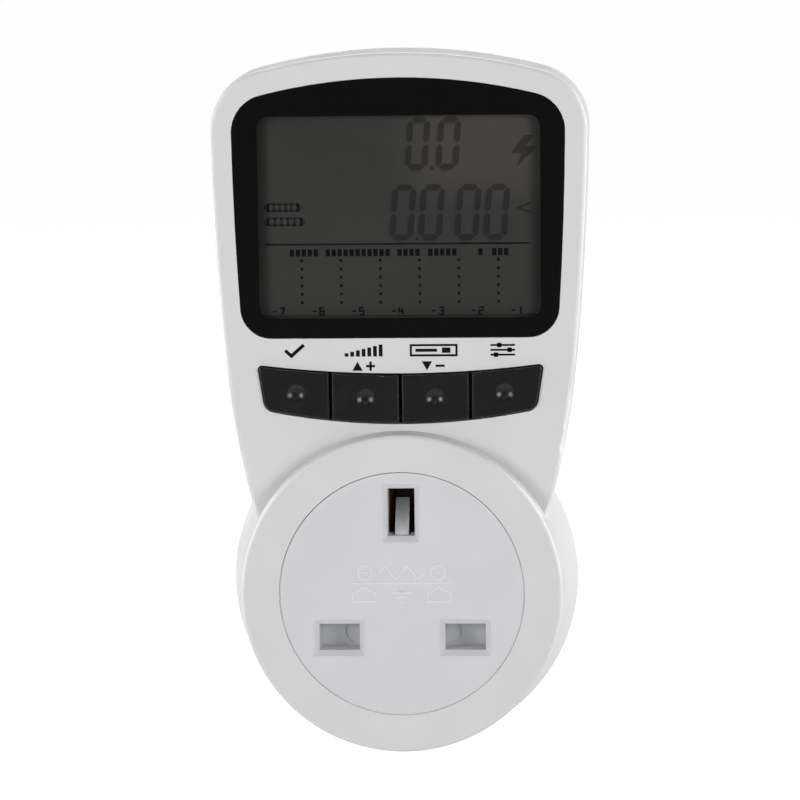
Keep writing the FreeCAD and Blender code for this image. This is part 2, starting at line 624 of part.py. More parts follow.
def key(x, z):
    """Cap with a finger dimple, a flange that holds it behind the face, and a stem."""
    place = math.floor(x / KEY_PITCH)
    low, high = place * KEY_PITCH + KEY_GAP / 2, (place + 1) * KEY_PITCH - KEY_GAP / 2
    if place == -2:
        low -= KEY_PITCH
    if place == 1:
        high += KEY_PITCH
    front = FACE_Y - KEY_PROUD
    under = FACE_Y + WALL + KEY_SLACK
    flange_y = (under, under + KEY_FLANGE_THICKNESS)
    column = box((low, high), (front, flange_y[1]), (KEY_BOTTOM_Z - KEY_PITCH, KEY_SPAN_Z + KEY_PITCH))
    cap = key_band(0.0, (front, under)).common(column)
    cap = cap.makeFillet(KEY_ROUNDING, edges_at(cap, front))
    bowl = (DIMPLE_RADIUS ** 2 + DIMPLE_DEPTH ** 2) / (2 * DIMPLE_DEPTH)
    cap = cap.cut(Part.makeSphere(bowl, V(x, front - bowl + DIMPLE_DEPTH, z)))
    flange = key_band(KEY_FLANGE, flange_y).common(column)
    stem = rod(KEY_STEM_RADIUS, (under, DISPLAY_BOARD_Y - SWITCH_HEIGHT - PLUNGER_PROUD), x, z)
    return fused(cap, flange, stem)


def switch_body(x, z):
    top = DISPLAY_BOARD_Y - SWITCH_HEIGHT
    block = centred(x, z, SWITCH_SIZE, SWITCH_SIZE, (top, DISPLAY_BOARD_Y))
    return block.cut(rod(PLUNGER_RADIUS + PLUNGER_SLACK, (top - OVERSHOOT, top + PLUNGER_WELL), x, z))


def switch_plunger(x, z):
    top = DISPLAY_BOARD_Y - SWITCH_HEIGHT
    return rod(PLUNGER_RADIUS, (top - PLUNGER_PROUD, top + PLUNGER_INSIDE), x, z)


# Socket front, shutter, contacts

def aperture(x, z, size, y):
    """Tools that cut one pin aperture: a straight passage and its bevelled mouth."""
    width, height = size
    lip = INSERT_Y + APERTURE_CHAMFER
    inner = [V(x + sx * width / 2, lip, z + sz * height / 2) for sx, sz in CORNERS]
    grow = APERTURE_CHAMFER + 0.1
    outer = [V(p.x + math.copysign(grow, p.x - x), INSERT_Y - 0.1, p.z + math.copysign(grow, p.z - z))
             for p in inner]
    mouth = Part.makeLoft([Part.makePolygon(w + w[:1]) for w in (inner, outer)], True, True)
    return centred(x, z, width, height, y).fuse(mouth)


APERTURES = [
    (-PIN_HALF_PITCH, PIN_ROW_Z, LIVE_APERTURE),
    (PIN_HALF_PITCH, PIN_ROW_Z, LIVE_APERTURE),
    (0.0, EARTH_Z, EARTH_APERTURE),
]


def socket_insert():
    """Disc with three apertures, each in a collar, held by a flange behind the ring."""
    back = INSERT_Y + INSERT_THICKNESS
    ledge = RING_Y + RING_WALL + INSERT_SEAT_GAP
    root = back - OVERSHOOT / 2
    disc = rod(INSERT_RADIUS, (INSERT_Y, back))
    disc = disc.makeChamfer(INSERT_EDGE, edges_at(disc, INSERT_Y))
    flange_y = (ledge, COLLAR_Y)
    rim = rod(INSERT_FLANGE_RADIUS, flange_y).cut(rod(INSERT_FLANGE_RADIUS - INSERT_FLANGE_WIDTH, flange_y))
    neck_y = (root, ledge + OVERSHOOT / 2)
    neck = rod(INSERT_RADIUS, neck_y).cut(rod(INSERT_RADIUS - INSERT_NECK, neck_y))
    pieces = [rim, neck]
    for x, z, (width, height) in APERTURES:
        pieces.append(centred(x, z, width + 2 * COLLAR_WALL, height + 2 * COLLAR_WALL, (root, COLLAR_Y)))
    behind = (root, CARRIER_Y[0])
    pieces += [rod(CARRIER_BOSS_RADIUS, behind, x, z) for x, z in CARRIER_SCREWS]
    pieces += [box(sorted(side * x for x in GUIDE_X), behind, GUIDE_Z) for side in (-1, 1)]
    shelf, thickness = SPRING_SHELF
    pieces.append(box((-shelf, shelf), behind, (SPRING_SEAT_Z - thickness, SPRING_SEAT_Z)))
    keep = rod(INSERT_RADIUS, (INSERT_Y, CARRIER_Y[0]))
    keep = keep.fuse(rod(INSERT_FLANGE_RADIUS, (ledge, CARRIER_Y[0])))
    solid = fused(disc, *[p.common(keep) for p in pieces])
    through = (INSERT_Y - OVERSHOOT, COLLAR_Y + OVERSHOOT / 2)
    tools = [aperture(x, z, size, through) for x, z, size in APERTURES]
    tools += pilots(CARRIER_SCREW, CARRIER_SCREWS, (back, CARRIER_Y[0] + OVERSHOOT))
    notch = RAMP_HALF_WIDTH + RAMP_SLACK
    collar_z = EARTH_Z - EARTH_APERTURE[1] / 2 - COLLAR_WALL
    tools.append(box((-notch, notch), (back, COLLAR_Y + OVERSHOOT), (collar_z - OVERSHOOT, EARTH_Z)))
    return cut_all(solid, tools)


def shutter():
    """Plate whose wings close the live apertures, with a ramp that the earth pin pushes down."""
    front, back = SHUTTER_Y
    wing = front + WING_SETBACK
    wings = box((-SHUTTER_HALF_WIDTH, SHUTTER_HALF_WIDTH), (wing, back), SHUTTER_Z)
    web = box((-SHUTTER_WEB_HALF_WIDTH, SHUTTER_WEB_HALF_WIDTH), SHUTTER_Y,
              (SHUTTER_Z[1] - OVERSHOOT, SHUTTER_WEB_TOP_Z))
    foot = EARTH_Z - EARTH_PIN[1] / 2 - SHUTTER_SLACK
    ramp = side_prism([(front, RAMP_ROOT_Z), (RAMP_FRONT_Y, RAMP_ROOT_Z), (RAMP_FRONT_Y, foot),
                       (RAMP_TIP_Y, RAMP_TOP_Z),
                       (RAMP_TIP_Y, RAMP_TOP_Z - RAMP_TIP_DEPTH), (back, RAMP_ROOT_Z)],
                      (-RAMP_HALF_WIDTH, RAMP_HALF_WIDTH))
    mark_y = (wing - OVERSHOOT, wing + EJECTOR_DEPTH)
    marks = [rod(EJECTOR_MARK, mark_y, side * EJECTOR_X, PIN_ROW_Z) for side in (-1, 1)]
    return cut_all(fused(wings, web, ramp), marks)


def shutter_spring():
    height = SHUTTER_Z[0] - SPRING_SEAT_Z - 2 * (SPRING_WIRE + SPRING_SLACK)
    path = Part.makeHelix(height / SPRING_TURNS, height, SPRING_RADIUS)
    ring = Part.Wire(Part.Circle(V(SPRING_RADIUS, 0, 0), V(0, 1, 0), SPRING_WIRE).toShape())
    coil = Part.Wire(path).makePipeShell([ring], True, True)
    coil.translate(V(0, (COLLAR_Y + CARRIER_Y[0]) / 2, SPRING_SEAT_Z + SPRING_WIRE + SPRING_SLACK))
    return coil


def contact_carrier():
    """Dished plate behind the shutter that holds the contacts."""
    plate = rod(CARRIER_RADIUS, CARRIER_Y)
    rim = rod(CARRIER_RADIUS, (CARRIER_Y[0], CARRIER_RIM_Y))
    rim = rim.cut(rod(CARRIER_RADIUS - CARRIER_RIM, (CARRIER_Y[0] - OVERSHOOT, CARRIER_RIM_Y + OVERSHOOT)))
    through = (CARRIER_Y[0] - OVERSHOOT, CARRIER_Y[1] + OVERSHOOT)
    tools = [centred(side * PIN_HALF_PITCH, PIN_ROW_Z, *CARRIER_LIVE_HOLE, through) for side in (-1, 1)]
    tools.append(centred(0, EARTH_Z, *CARRIER_EARTH_HOLE, through))
    slot_x, slot_z = CARRIER_RAMP_SLOT
    tools.append(box(slot_x, through, slot_z))
    tools += clearances(CARRIER_SCREW, CARRIER_SCREWS, through)
    return cut_all(fused(plate, rim), tools)


def spring_clip(width, back):
    """Two leaves that grip a pin from above and below, on a bridge at their back, about the Y axis."""
    x = (-width / 2, width / 2)
    inner, outer = LEAF_GAP / 2, LEAF_GAP / 2 + LEAF
    upper = box(x, (LEAF_FRONT_Y, back), (inner, outer))
    lower = box(x, (LEAF_FRONT_Y, back), (-outer, -inner))
    bridge = box(x, (back - LEAF, back), (-outer, outer))
    mouth = LEAF_FRONT_Y - LEAF_FLARE
    lip = side_prism([(LEAF_FRONT_Y, inner), (LEAF_FRONT_Y, outer), (mouth, outer + LEAF_FLARE),
                      (mouth, inner + LEAF_FLARE)], x)
    return fused(upper, lower, bridge, lip, lip.mirror(V(0, 0, 0), V(0, 0, 1)))


def on_side(side, x):
    """A width's span on the given side of the case: +1 line, -1 neutral."""
    return sorted(side * value for value in x)


def live_contact(side):
    clip = spring_clip(LIVE_LEAF_WIDTH, LIVE_CONTACT_Y).translated(V(side * PIN_HALF_PITCH, 0, PIN_ROW_Z))
    tab = box(on_side(side, TAB_X), (LIVE_CONTACT_Y, LIVE_CONTACT_Y + STRIP), LIVE_STRIP_Z)
    return fused(clip, tab)


def earth_contact():
    clip = spring_clip(EARTH_LEAF_WIDTH, EARTH_CONTACT_Y)
    clip = clip.rotated(V(0, 0, 0), V(0, 1, 0), 90)
    return clip.translated(V(0, 0, EARTH_Z))


# Pins and their strips

def tapered_tip(width, height, start, end):
    """Pin end whose four sides lean in over the last stretch."""
    bend = end - PIN_TAPER_DEPTH
    wires = []
    for y, trim in ((bend, 0.0), (end, PIN_TAPER)):
        w, h = width / 2 - trim, height / 2 - trim
        corners = [V(sx * w, y, sz * h) for sx, sz in CORNERS]
        wires.append(Part.makePolygon(corners + corners[:1]))
    return fused(centred(0, 0, width, height, (start, bend)), Part.makeLoft(wires, True, True))


def pin_root(width, height):
    """What holds a pin in the case: a flange on the floor and a round shank riveted over its strip."""
    flange = centred(0, 0, width + PIN_FLANGE[0], height + PIN_FLANGE[1], (CLAMP_Y[1], -FLOOR_WALL))
    shank = rod(SHANK_RADIUS, (RIVET_Y + STRIP, CLAMP_Y[1]))
    head = rod(SHANK_RADIUS + RIVET_HEAD, (RIVET_Y, CLAMP_Y[0] - STRIP))
    return [flange, shank, head]


def live_pin(side):
    width, height = LIVE_PIN
    wall = 2 * PIN_SLEEVE_WALL
    root = centred(0, 0, width, height, (-FLOOR_WALL, 0.0))
    neck = centred(0, 0, width - wall, height - wall, (-PIN_OVERLAP, PIN_SLEEVE_LENGTH + PIN_OVERLAP))
    tip = tapered_tip(width, height, PIN_SLEEVE_LENGTH, LIVE_PIN_LENGTH)
    pin = fused(root, neck, tip, *pin_root(width, height))
    return pin.translated(V(side * PIN_HALF_PITCH, 0, PIN_ROW_Z))


def pin_sleeve(side):
    width, height = LIVE_PIN
    wall = 2 * PIN_SLEEVE_WALL
    sleeve = centred(0, 0, width, height, (0, PIN_SLEEVE_LENGTH))
    bore_y = (-OVERSHOOT, PIN_SLEEVE_LENGTH + OVERSHOOT)
    sleeve = sleeve.cut(centred(0, 0, width - wall, height - wall, bore_y))
    return sleeve.translated(V(side * PIN_HALF_PITCH, 0, PIN_ROW_Z))


def earth_pin():
    width, height = EARTH_PIN
    shaft = tapered_tip(width, height, -FLOOR_WALL, EARTH_PIN_LENGTH)
    return fused(shaft, *pin_root(width, height)).translated(V(0, 0, EARTH_Z))


def pin_clamp():
    """Plate over the pin flanges that leaves their shanks free."""
    through = (CLAMP_Y[0] - OVERSHOOT, CLAMP_Y[1] + OVERSHOOT)
    holes = [rod(SHANK_RADIUS, through, x, z) for x, z, size in APERTURES]
    return cut_all(plates(CLAMP_PLATES, CLAMP_Y), holes + clearances(CLAMP_SCREW, CLAMP_SCREWS, through))


FOOT_Y = (CLAMP_Y[0] - STRIP, CLAMP_Y[0])       # the strips' feet lie on the clamp


def strip_foot(x, z):
    """The end of a strip that is riveted under a pin's head."""
    hole = rod(SHANK_RADIUS, (FOOT_Y[0] - OVERSHOOT, FOOT_Y[1] + OVERSHOOT), x, z)
    return centred(x, z, *STRIP_FOOT, FOOT_Y).cut(hole)


def live_strip(side, top_y):
    """Brass strip that climbs from a live pin beside the contact above it."""
    outer = RISER_X + STRIP
    climb = box(on_side(side, (RISER_X, outer)), (top_y, CLAMP_Y[0]), LIVE_STRIP_Z)
    link = box(on_side(side, (RISER_X - FOOT_LINK, outer)), FOOT_Y, LIVE_STRIP_Z)
    return fused(strip_foot(side * PIN_HALF_PITCH, PIN_ROW_Z), link, climb)


def earth_strip():
    x = (-EARTH_STRIP_HALF, EARTH_STRIP_HALF)
    z = (EARTH_RISER_Z, EARTH_RISER_Z + STRIP)
    climb = box(x, (EARTH_CONTACT_Y, CLAMP_Y[0]), z)
    base = box(x, FOOT_Y, (EARTH_Z + SHANK_RADIUS, z[1]))
    top = box(x, (EARTH_CONTACT_Y, EARTH_CONTACT_Y + STRIP), (EARTH_TAB_Z, z[1]))
    return fused(strip_foot(0, EARTH_Z), base, climb, top)


def shunt_resistor():
    """Flat alloy strip between the line pin's strip and the line contact's tab, notched to its value."""
    y = (LIVE_CONTACT_Y + STRIP, SHUNT_LOW_Y)
    strip = box((RISER_X, RISER_X + STRIP), y, LIVE_STRIP_Z)
    notch = box((RISER_X - OVERSHOOT, RISER_X + STRIP + OVERSHOOT), (y[0] + SHUNT_TRIM, y[1] - SHUNT_TRIM),
                (LIVE_STRIP_Z[1] - SHUNT_NOTCH, LIVE_STRIP_Z[1] + OVERSHOOT))
    return strip.cut(notch)


def supply_lead(side):
    """Insulated lead from a live strip up to the front of the metering board."""
    start = side * (RISER_X + STRIP + LEAD_RADIUS)
    end = side * LEAD_END_X
    rest = METERING_BOARD_Y - LEAD_RADIUS
    points = [V(start, LEAD_START_Y, PIN_ROW_Z), V(start, *LEAD_BEND)]
    points += [V(end, rest, z) for z in LEAD_END_Z]
    pieces = [Part.makeCylinder(LEAD_RADIUS, (b - a).Length, a, b - a) for a, b in zip(points, points[1:])]
    pieces += [Part.makeSphere(LEAD_RADIUS, p) for p in points[1:-1]]
    return fused(*pieces)


# Components. They stand on the rear of the display board and on the front of the metering board.

DISPLAY_REAR = DISPLAY_BOARD_Y + BOARD_THICKNESS


def metering_board():
    front, rear = METERING_BOARD_Y, METERING_BOARD_Y + BOARD_THICKNESS
    holes = clearances(METERING_SCREW, METERING_BOARD_SCREWS, (front - OVERSHOOT, rear + OVERSHOOT))
    return cut_all(plates(METERING_BOARD, (front, rear)), holes)


def film_capacitor():
    x, z = FILM_CAPACITOR
    case = box(x, (METERING_BOARD_Y - FILM_CAPACITOR_HEIGHT, METERING_BOARD_Y), z)
    return case.makeFillet(FILM_CAPACITOR_ROUNDING, case.Edges)


def electrolytic_capacitor():
    """Can lying on the board."""
    x, z = ELECTROLYTIC
    start = V(x, METERING_BOARD_Y - ELECTROLYTIC_RADIUS - ELECTROLYTIC_LIFT, z)
    return Part.makeCylinder(ELECTROLYTIC_RADIUS, ELECTROLYTIC_LENGTH, start, V(1, 0, 0))


def varistor():
    top = METERING_BOARD_Y - VARISTOR_HEIGHT
    disc = rod(VARISTOR_RADIUS, (top, METERING_BOARD_Y), *VARISTOR)
    return disc.makeFillet(VARISTOR_ROUNDING, edges_at(disc, top))


def chip(x, z, width, height, thick, legs):
    """Moulded package with a row of flat legs along its two long sides."""
    front = METERING_BOARD_Y
    under = front - CHIP_LIFT
    leg_width, reach = CHIP_LEG
    inside = CHIP_LIFT / 2
    package = centred(x, z, width, height, (under - thick, under))
    pins = []
    for row in (-1, 1):
        middle = z + row * (height + reach - inside) / 2
        for i in range(legs):
            place = x + width * ((i + 0.5) / legs - 0.5)
            pins.append(centred(place, middle, leg_width, reach + inside, (under - inside, front)))
    return fused(package, *pins)


def crystal():
    x, z = CRYSTAL
    top = METERING_BOARD_Y - CRYSTAL_HEIGHT
    can = box(x, (top, METERING_BOARD_Y), z)
    return can.makeFillet(CRYSTAL_ROUNDING, edges_at(can, top))


def fusible_resistor():
    """Round body on two bent leads."""
    low, high = FUSIBLE_X
    y = METERING_BOARD_Y - FUSIBLE_LIFT
    half = FUSIBLE_LEAD / 2
    pieces = [Part.makeCylinder(FUSIBLE_RADIUS, high - low, V(low, y, FUSIBLE_Z), V(1, 0, 0))]
    for end, side in ((low, -1), (high, 1)):
        bend = end + side * FUSIBLE_BEND
        run = sorted((end - side * half, bend))
        pieces.append(box(run, (y - half, y + half), (FUSIBLE_Z - half, FUSIBLE_Z + half)))
        pieces.append(centred(bend, FUSIBLE_Z, FUSIBLE_LEAD, FUSIBLE_LEAD, (y - half, METERING_BOARD_Y)))
    return fused(*pieces)


def board_header():
    """Row of pins in a plastic bar that joins the two boards."""
    width, depth, height = HEADER_BAR
    bar = centred(0.0, HEADER_Z, width, height, (METERING_BOARD_Y - depth, METERING_BOARD_Y))
    pin_y = (DISPLAY_REAR, METERING_BOARD_Y - depth / 2)
    places = [HEADER_PITCH * (i - (HEADER_PINS - 1) / 2) for i in range(HEADER_PINS)]
    return fused(bar, *[centred(x, HEADER_Z, HEADER_PIN, HEADER_PIN, pin_y) for x in places])


def controller():
    """Bonded chip under a drop of epoxy on the rear of the display board."""
    x, z = CONTROLLER
    drop = Part.makeSphere(CONTROLLER_DOME, V(x, DISPLAY_REAR + CONTROLLER_HEIGHT - CONTROLLER_DOME, z))
    return drop.common(rod(CONTROLLER_RADIUS, (DISPLAY_REAR, DISPLAY_REAR + CONTROLLER_DOME), x, z))


def backup_battery():
    top = DISPLAY_REAR + BATTERY_HEIGHT
    cell = rod(BATTERY_RADIUS, (DISPLAY_REAR + BATTERY_LIFT, top), *BATTERY)
    return cell.makeFillet(BATTERY_ROUNDING, edges_at(cell, top))


def battery_clip():
    """Bent strip over the cell, with a foot at each end on the board."""
    top = DISPLAY_REAR + BATTERY_HEIGHT
    centre_x, centre_z = BATTERY
    x = (centre_x - CLIP_HALF_WIDTH, centre_x + CLIP_HALF_WIDTH)
    low, high = centre_z - CLIP_HALF_LENGTH, centre_z + CLIP_HALF_LENGTH
    bridge = box(x, (top, top + CLIP_THICKNESS), (low, high))
    feet = [box(x, (DISPLAY_REAR, top + CLIP_THICKNESS), z)
            for z in ((low, low + CLIP_THICKNESS), (high - CLIP_THICKNESS, high))]
    return fused(bridge, *feet)


# Screws

def screw(x, z, head_y, direction, size):
    """Cross-head screw; direction is +1 when its tip points along +Y."""
    head, shank, length = size
    height = head * SCREW_HEAD_RATIO
    outer = head_y - direction * height
    top = rod(head, sorted((head_y, outer)), x, z)
    top = top.makeFillet(height / 2, edges_at(top, outer))
    cross_y = sorted((outer - direction * OVERSHOOT, outer + direction * height / 2))
    cross = [centred(x, z, *arm, cross_y) for arm in ((head, head / 4), (head / 4, head))]
    return cut_all(fused(top, rod(shank, sorted((head_y, head_y + direction * length)), x, z)), cross)


def screws(places, head_y, direction, size):
    return Part.makeCompound([screw(x, z, head_y, direction, size) for x, z in places])


def main():
    os.makedirs("parts", exist_ok=True)
    line, neutral = 1, -1
    nodes = {
        "front_housing": front_housing(),
        "rear_housing": rear_housing(),
        "display_window": display_window(),
        "lcd_glass": lcd_glass(),
        "lcd_reflector": lcd_reflector(),
        "lcd_frame": lcd_frame(),
        "zebra_strip": zebra_strip(),
        "display_board": display_board(),
        "controller_chip": controller(),
        "backup_battery": backup_battery(),
        "battery_clip": battery_clip(),
        "board_header": board_header(),
        "metering_board": metering_board(),
        "metering_chip": chip(*METERING_CHIP),
        "bridge_rectifier": chip(*BRIDGE_RECTIFIER),
        "memory_chip": chip(*MEMORY_CHIP),
        "film_capacitor": film_capacitor(),
        "electrolytic_capacitor": electrolytic_capacitor(),
        "varistor": varistor(),
        "crystal": crystal(),
        "fusible_resistor": fusible_resistor(),
        "shunt_resistor": shunt_resistor(),
        "socket_insert": socket_insert(),
        "shutter": shutter(),
        "shutter_spring": shutter_spring(),
        "contact_carrier": contact_carrier(),
        "line_contact": live_contact(line),
        "neutral_contact": live_contact(neutral),
        "earth_contact": earth_contact(),
        "line_pin": live_pin(line),
        "neutral_pin": live_pin(neutral),
        "earth_pin": earth_pin(),
        "line_pin_sleeve": pin_sleeve(line),
        "neutral_pin_sleeve": pin_sleeve(neutral),
        "line_strip": live_strip(line, SHUNT_LOW_Y),
        "neutral_strip": live_strip(neutral, LIVE_CONTACT_Y + STRIP),
        "earth_strip": earth_strip(),
        "pin_clamp": pin_clamp(),
        "line_lead": supply_lead(line),
        "neutral_lead": supply_lead(neutral),
        "housing_screws": screws(POSTS, POST_END_Y + WELL_FLOOR, -1, HOUSING_SCREW),
        "display_board_screws": screws(DISPLAY_BOARD_SCREWS, DISPLAY_REAR, -1, DISPLAY_SCREW),
        "metering_board_screws": screws(METERING_BOARD_SCREWS, METERING_BOARD_Y, 1, METERING_SCREW),
        "carrier_screws": screws(CARRIER_SCREWS, CARRIER_Y[1], -1, CARRIER_SCREW),
        "clamp_screws": screws(CLAMP_SCREWS, CLAMP_Y[0], 1, CLAMP_SCREW),
    }
    for name, (x, z) in KEYS.items():
        nodes["button_" + name] = key(x, z)
        nodes["switch_plunger_" + name] = switch_plunger(x, z)
        nodes["switch_body_" + name] = switch_body(x, z)
    for name, shape in nodes.items():
        save(name, shape)
    print(len(nodes), "nodes")


main()
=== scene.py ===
import math

import bmesh
import bpy
from mathutils import Matrix, Vector


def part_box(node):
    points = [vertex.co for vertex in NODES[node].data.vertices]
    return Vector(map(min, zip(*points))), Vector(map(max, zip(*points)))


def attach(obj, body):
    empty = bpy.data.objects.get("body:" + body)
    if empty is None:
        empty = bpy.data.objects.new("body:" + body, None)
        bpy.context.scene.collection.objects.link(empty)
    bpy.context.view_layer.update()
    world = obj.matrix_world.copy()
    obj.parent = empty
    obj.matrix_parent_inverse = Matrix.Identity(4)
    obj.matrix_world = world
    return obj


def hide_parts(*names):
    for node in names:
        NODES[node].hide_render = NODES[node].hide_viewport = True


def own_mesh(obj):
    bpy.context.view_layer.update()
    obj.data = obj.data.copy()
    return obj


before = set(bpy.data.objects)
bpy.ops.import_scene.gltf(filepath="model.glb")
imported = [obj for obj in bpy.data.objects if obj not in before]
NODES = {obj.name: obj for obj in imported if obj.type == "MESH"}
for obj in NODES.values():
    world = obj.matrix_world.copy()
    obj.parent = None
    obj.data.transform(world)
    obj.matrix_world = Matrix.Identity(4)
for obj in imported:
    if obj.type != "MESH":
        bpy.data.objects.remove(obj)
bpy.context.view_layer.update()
KEYS = ("ok", "value", "display", "set")
MM = 0.001

# Places taken from the frame, in metres
FRONT_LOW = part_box("front_housing")[0]
RING_Y = FRONT_LOW.y
FLOOR_Z = FRONT_LOW.z
WINDOW_RECESS = 0.1 * MM        # from the flat face of the display body back to the window's face
FACE_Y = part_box("display_window")[0].y - WINDOW_RECESS
GLASS_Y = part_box("lcd_glass")[0].y
INSERT_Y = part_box("socket_insert")[0].y

# Clear view of the display inside the printed border, in mm
VIEW_HALF_WIDTH = 24.75
VIEW_BOTTOM, VIEW_TOP = 48.3, 83.8
VIEW_CORNER = 2.1
ANY_DEPTH = 1000.0              # far more than the object's, so the border is the same at every depth

# How far flat shapes stand out of their surface
PRINT_THICKNESS = 0.02 * MM
RAISED = 0.1 * MM


# Camera at the photograph's angle

CAMERA_AZIMUTH = math.radians(2.90)
CAMERA_ELEVATION = math.radians(7.31)
CAMERA_ROLL = math.radians(-0.66)
CAMERA_DISTANCE = 0.600
CAMERA_TARGET = Vector((0.0001, RING_Y, 0.0345))
CAMERA_LENS = 154.8
CAMERA_NEAR = 0.01
SENSOR = 36.0


def make_camera():
    az, el, roll = CAMERA_AZIMUTH, CAMERA_ELEVATION, CAMERA_ROLL
    back = Vector((math.sin(az) * math.cos(el), -math.cos(az) * math.cos(el), math.sin(el)))
    right = Vector((math.cos(az), math.sin(az), 0.0))
    up = back.cross(right)
    x_axis = right * math.cos(roll) + up * math.sin(roll)
    y_axis = up * math.cos(roll) - right * math.sin(roll)
    data = bpy.data.cameras.new("camera")
    data.lens = CAMERA_LENS
    data.sensor_width = SENSOR
    data.clip_start = CAMERA_NEAR
    camera = bpy.data.objects.new("camera", data)
    turn = Matrix((x_axis, y_axis, back)).transposed().to_4x4()
    camera.matrix_world = Matrix.Translation(CAMERA_TARGET + back * CAMERA_DISTANCE) @ turn
    bpy.context.scene.collection.objects.link(camera)
    bpy.context.scene.camera = camera


# Materials

WHITE = (1.0, 1.0, 1.0)
BUMP_DEPTH = 0.004 * MM         # height of the grain in plastic and of the streaks in metal

# Scales of the noise that varies each finish, per metre
FLOW_SCALE = 90.0
GLOSS_SCALE = 260.0
TARNISH_SCALE = 220.0
STREAK_SCALE = (900.0, 60.0, 900.0)
LENS_SCALE = 400.0
CLOUD_SCALE = 35.0
FILM_SCALE = 900.0

# Painted reflection at the display's upper right: input socket, axis, where it starts and where it is
# full
PAINTED_REFLECTION_RAMPS = ((0, "X", -0.004, 0.008), (1, "Z", 0.066, 0.074))
PAINTED_REFLECTION_TINT = (1.62, 1.50, 1.42)
# Painted shadow of the window's border by the film's side edges: distances from the middle where it
# starts and where it is full
BORDER_SHADOW_START, BORDER_SHADOW_FULL = 0.0222, 0.0250
BORDER_SHADOW_TINT = (0.62, 0.62, 0.62)
FILM_ROUGHNESS = 0.5


class Nodes:
    """A new material's node tree, with short ways to add and link nodes."""

    def __init__(self, name):
        self.material = bpy.data.materials.new(name)
        self.material.use_nodes = True
        self.tree = self.material.node_tree
        self.shader = self.tree.nodes["Principled BSDF"]
        self.output = self.tree.nodes["Material Output"]
        self.place = self.add("ShaderNodeTexCoord").outputs["Object"]

    def add(self, kind, **values):
        """Adds a node; a value goes to the input socket of that name, or else to the node itself."""
        node = self.tree.nodes.new(kind)
        for key, value in values.items():
            socket = node.inputs.get(key.replace("_", " "))
            if socket is not None:
                socket.default_value = value
            else:
                setattr(node, key, value)
        return node

    def link(self, source, target):
        self.tree.links.new(source, target)

    def noise(self, scale, detail=2.0, roughness=0.5):
        node = self.add("ShaderNodeTexNoise", Scale=scale, Detail=detail, Roughness=roughness)
        self.link(self.place, node.inputs["Vector"])
        return node.outputs["Fac"]

    def spread(self, source, low, high, from_low=0.3, from_high=0.7):
        """Stretches a value to run from low to high; noise mostly lies between 0.3 and 0.7."""
        node = self.add("ShaderNodeMapRange")
        self.link(source, node.inputs["Value"])
        node.inputs["From Min"].default_value = from_low
        node.inputs["From Max"].default_value = from_high
        node.inputs["To Min"].default_value = low
        node.inputs["To Max"].default_value = high
        return node.outputs["Result"]

    def two_tone(self, source, first, second):
        """Mixes two colours; sockets 6, 7 and 2 are the Mix node's colour inputs and output."""
        node = self.add("ShaderNodeMix", data_type="RGBA")
        self.link(source, node.inputs["Factor"])
        node.inputs[6].default_value = (*first, 1.0)
        node.inputs[7].default_value = (*second, 1.0)
        return node.outputs[2]

    def bump(self, source, strength):
        node = self.add("ShaderNodeBump", Strength=strength, Distance=BUMP_DEPTH)
        self.link(source, node.inputs["Height"])
        self.link(node.outputs["Normal"], self.shader.inputs["Normal"])

    def set(self, **values):
        for key, value in values.items():
            self.shader.inputs[key.replace("_", " ")].default_value = value


def shade(colour, factor):
    return tuple(min(1.0, c * factor) for c in colour)


def moulded(name, colour, rough, grain=0.25, specular=0.5, mottle=0.02):
    """Moulded plastic: a fine spark-eroded grain in mm, faint flow mottling and uneven gloss."""
    n = Nodes(name)
    flow = n.noise(FLOW_SCALE, 3.0, 0.6)
    tone = n.two_tone(n.spread(flow, 0.0, 1.0), shade(colour, 1 - mottle), shade(colour, 1 + mottle))
    n.link(tone, n.shader.inputs["Base Color"])
    gloss = n.spread(n.noise(GLOSS_SCALE, 4.0), rough - 0.05, rough + 0.05)
    n.link(gloss, n.shader.inputs["Roughness"])
    n.bump(n.noise(1.0 / (grain * MM), 3.0, 0.6), 0.35)
    n.set(Specular_IOR_Level=specular)
    return n.material


def metal(name, colour, rough):
    """Drawn or rolled metal: streaks along one direction and a little tarnish."""
    n = Nodes(name)
    stretch = n.add("ShaderNodeMapping", Scale=STREAK_SCALE)
    n.link(n.place, stretch.inputs["Vector"])
    streak = n.add("ShaderNodeTexNoise", Scale=1.0, Detail=4.0)
    n.link(stretch.outputs["Vector"], streak.inputs["Vector"])
    tarnish = n.noise(TARNISH_SCALE, 4.0, 0.65)
    tone = n.two_tone(n.spread(tarnish, 0.0, 1.0), shade(colour, 0.9), colour)
    n.link(tone, n.shader.inputs["Base Color"])
    gloss = n.spread(streak.outputs["Fac"], rough - 0.04, rough + 0.06)
    n.link(gloss, n.shader.inputs["Roughness"])
    n.bump(streak.outputs["Fac"], 0.08)
    n.set(Metallic=1.0)
    return n.material


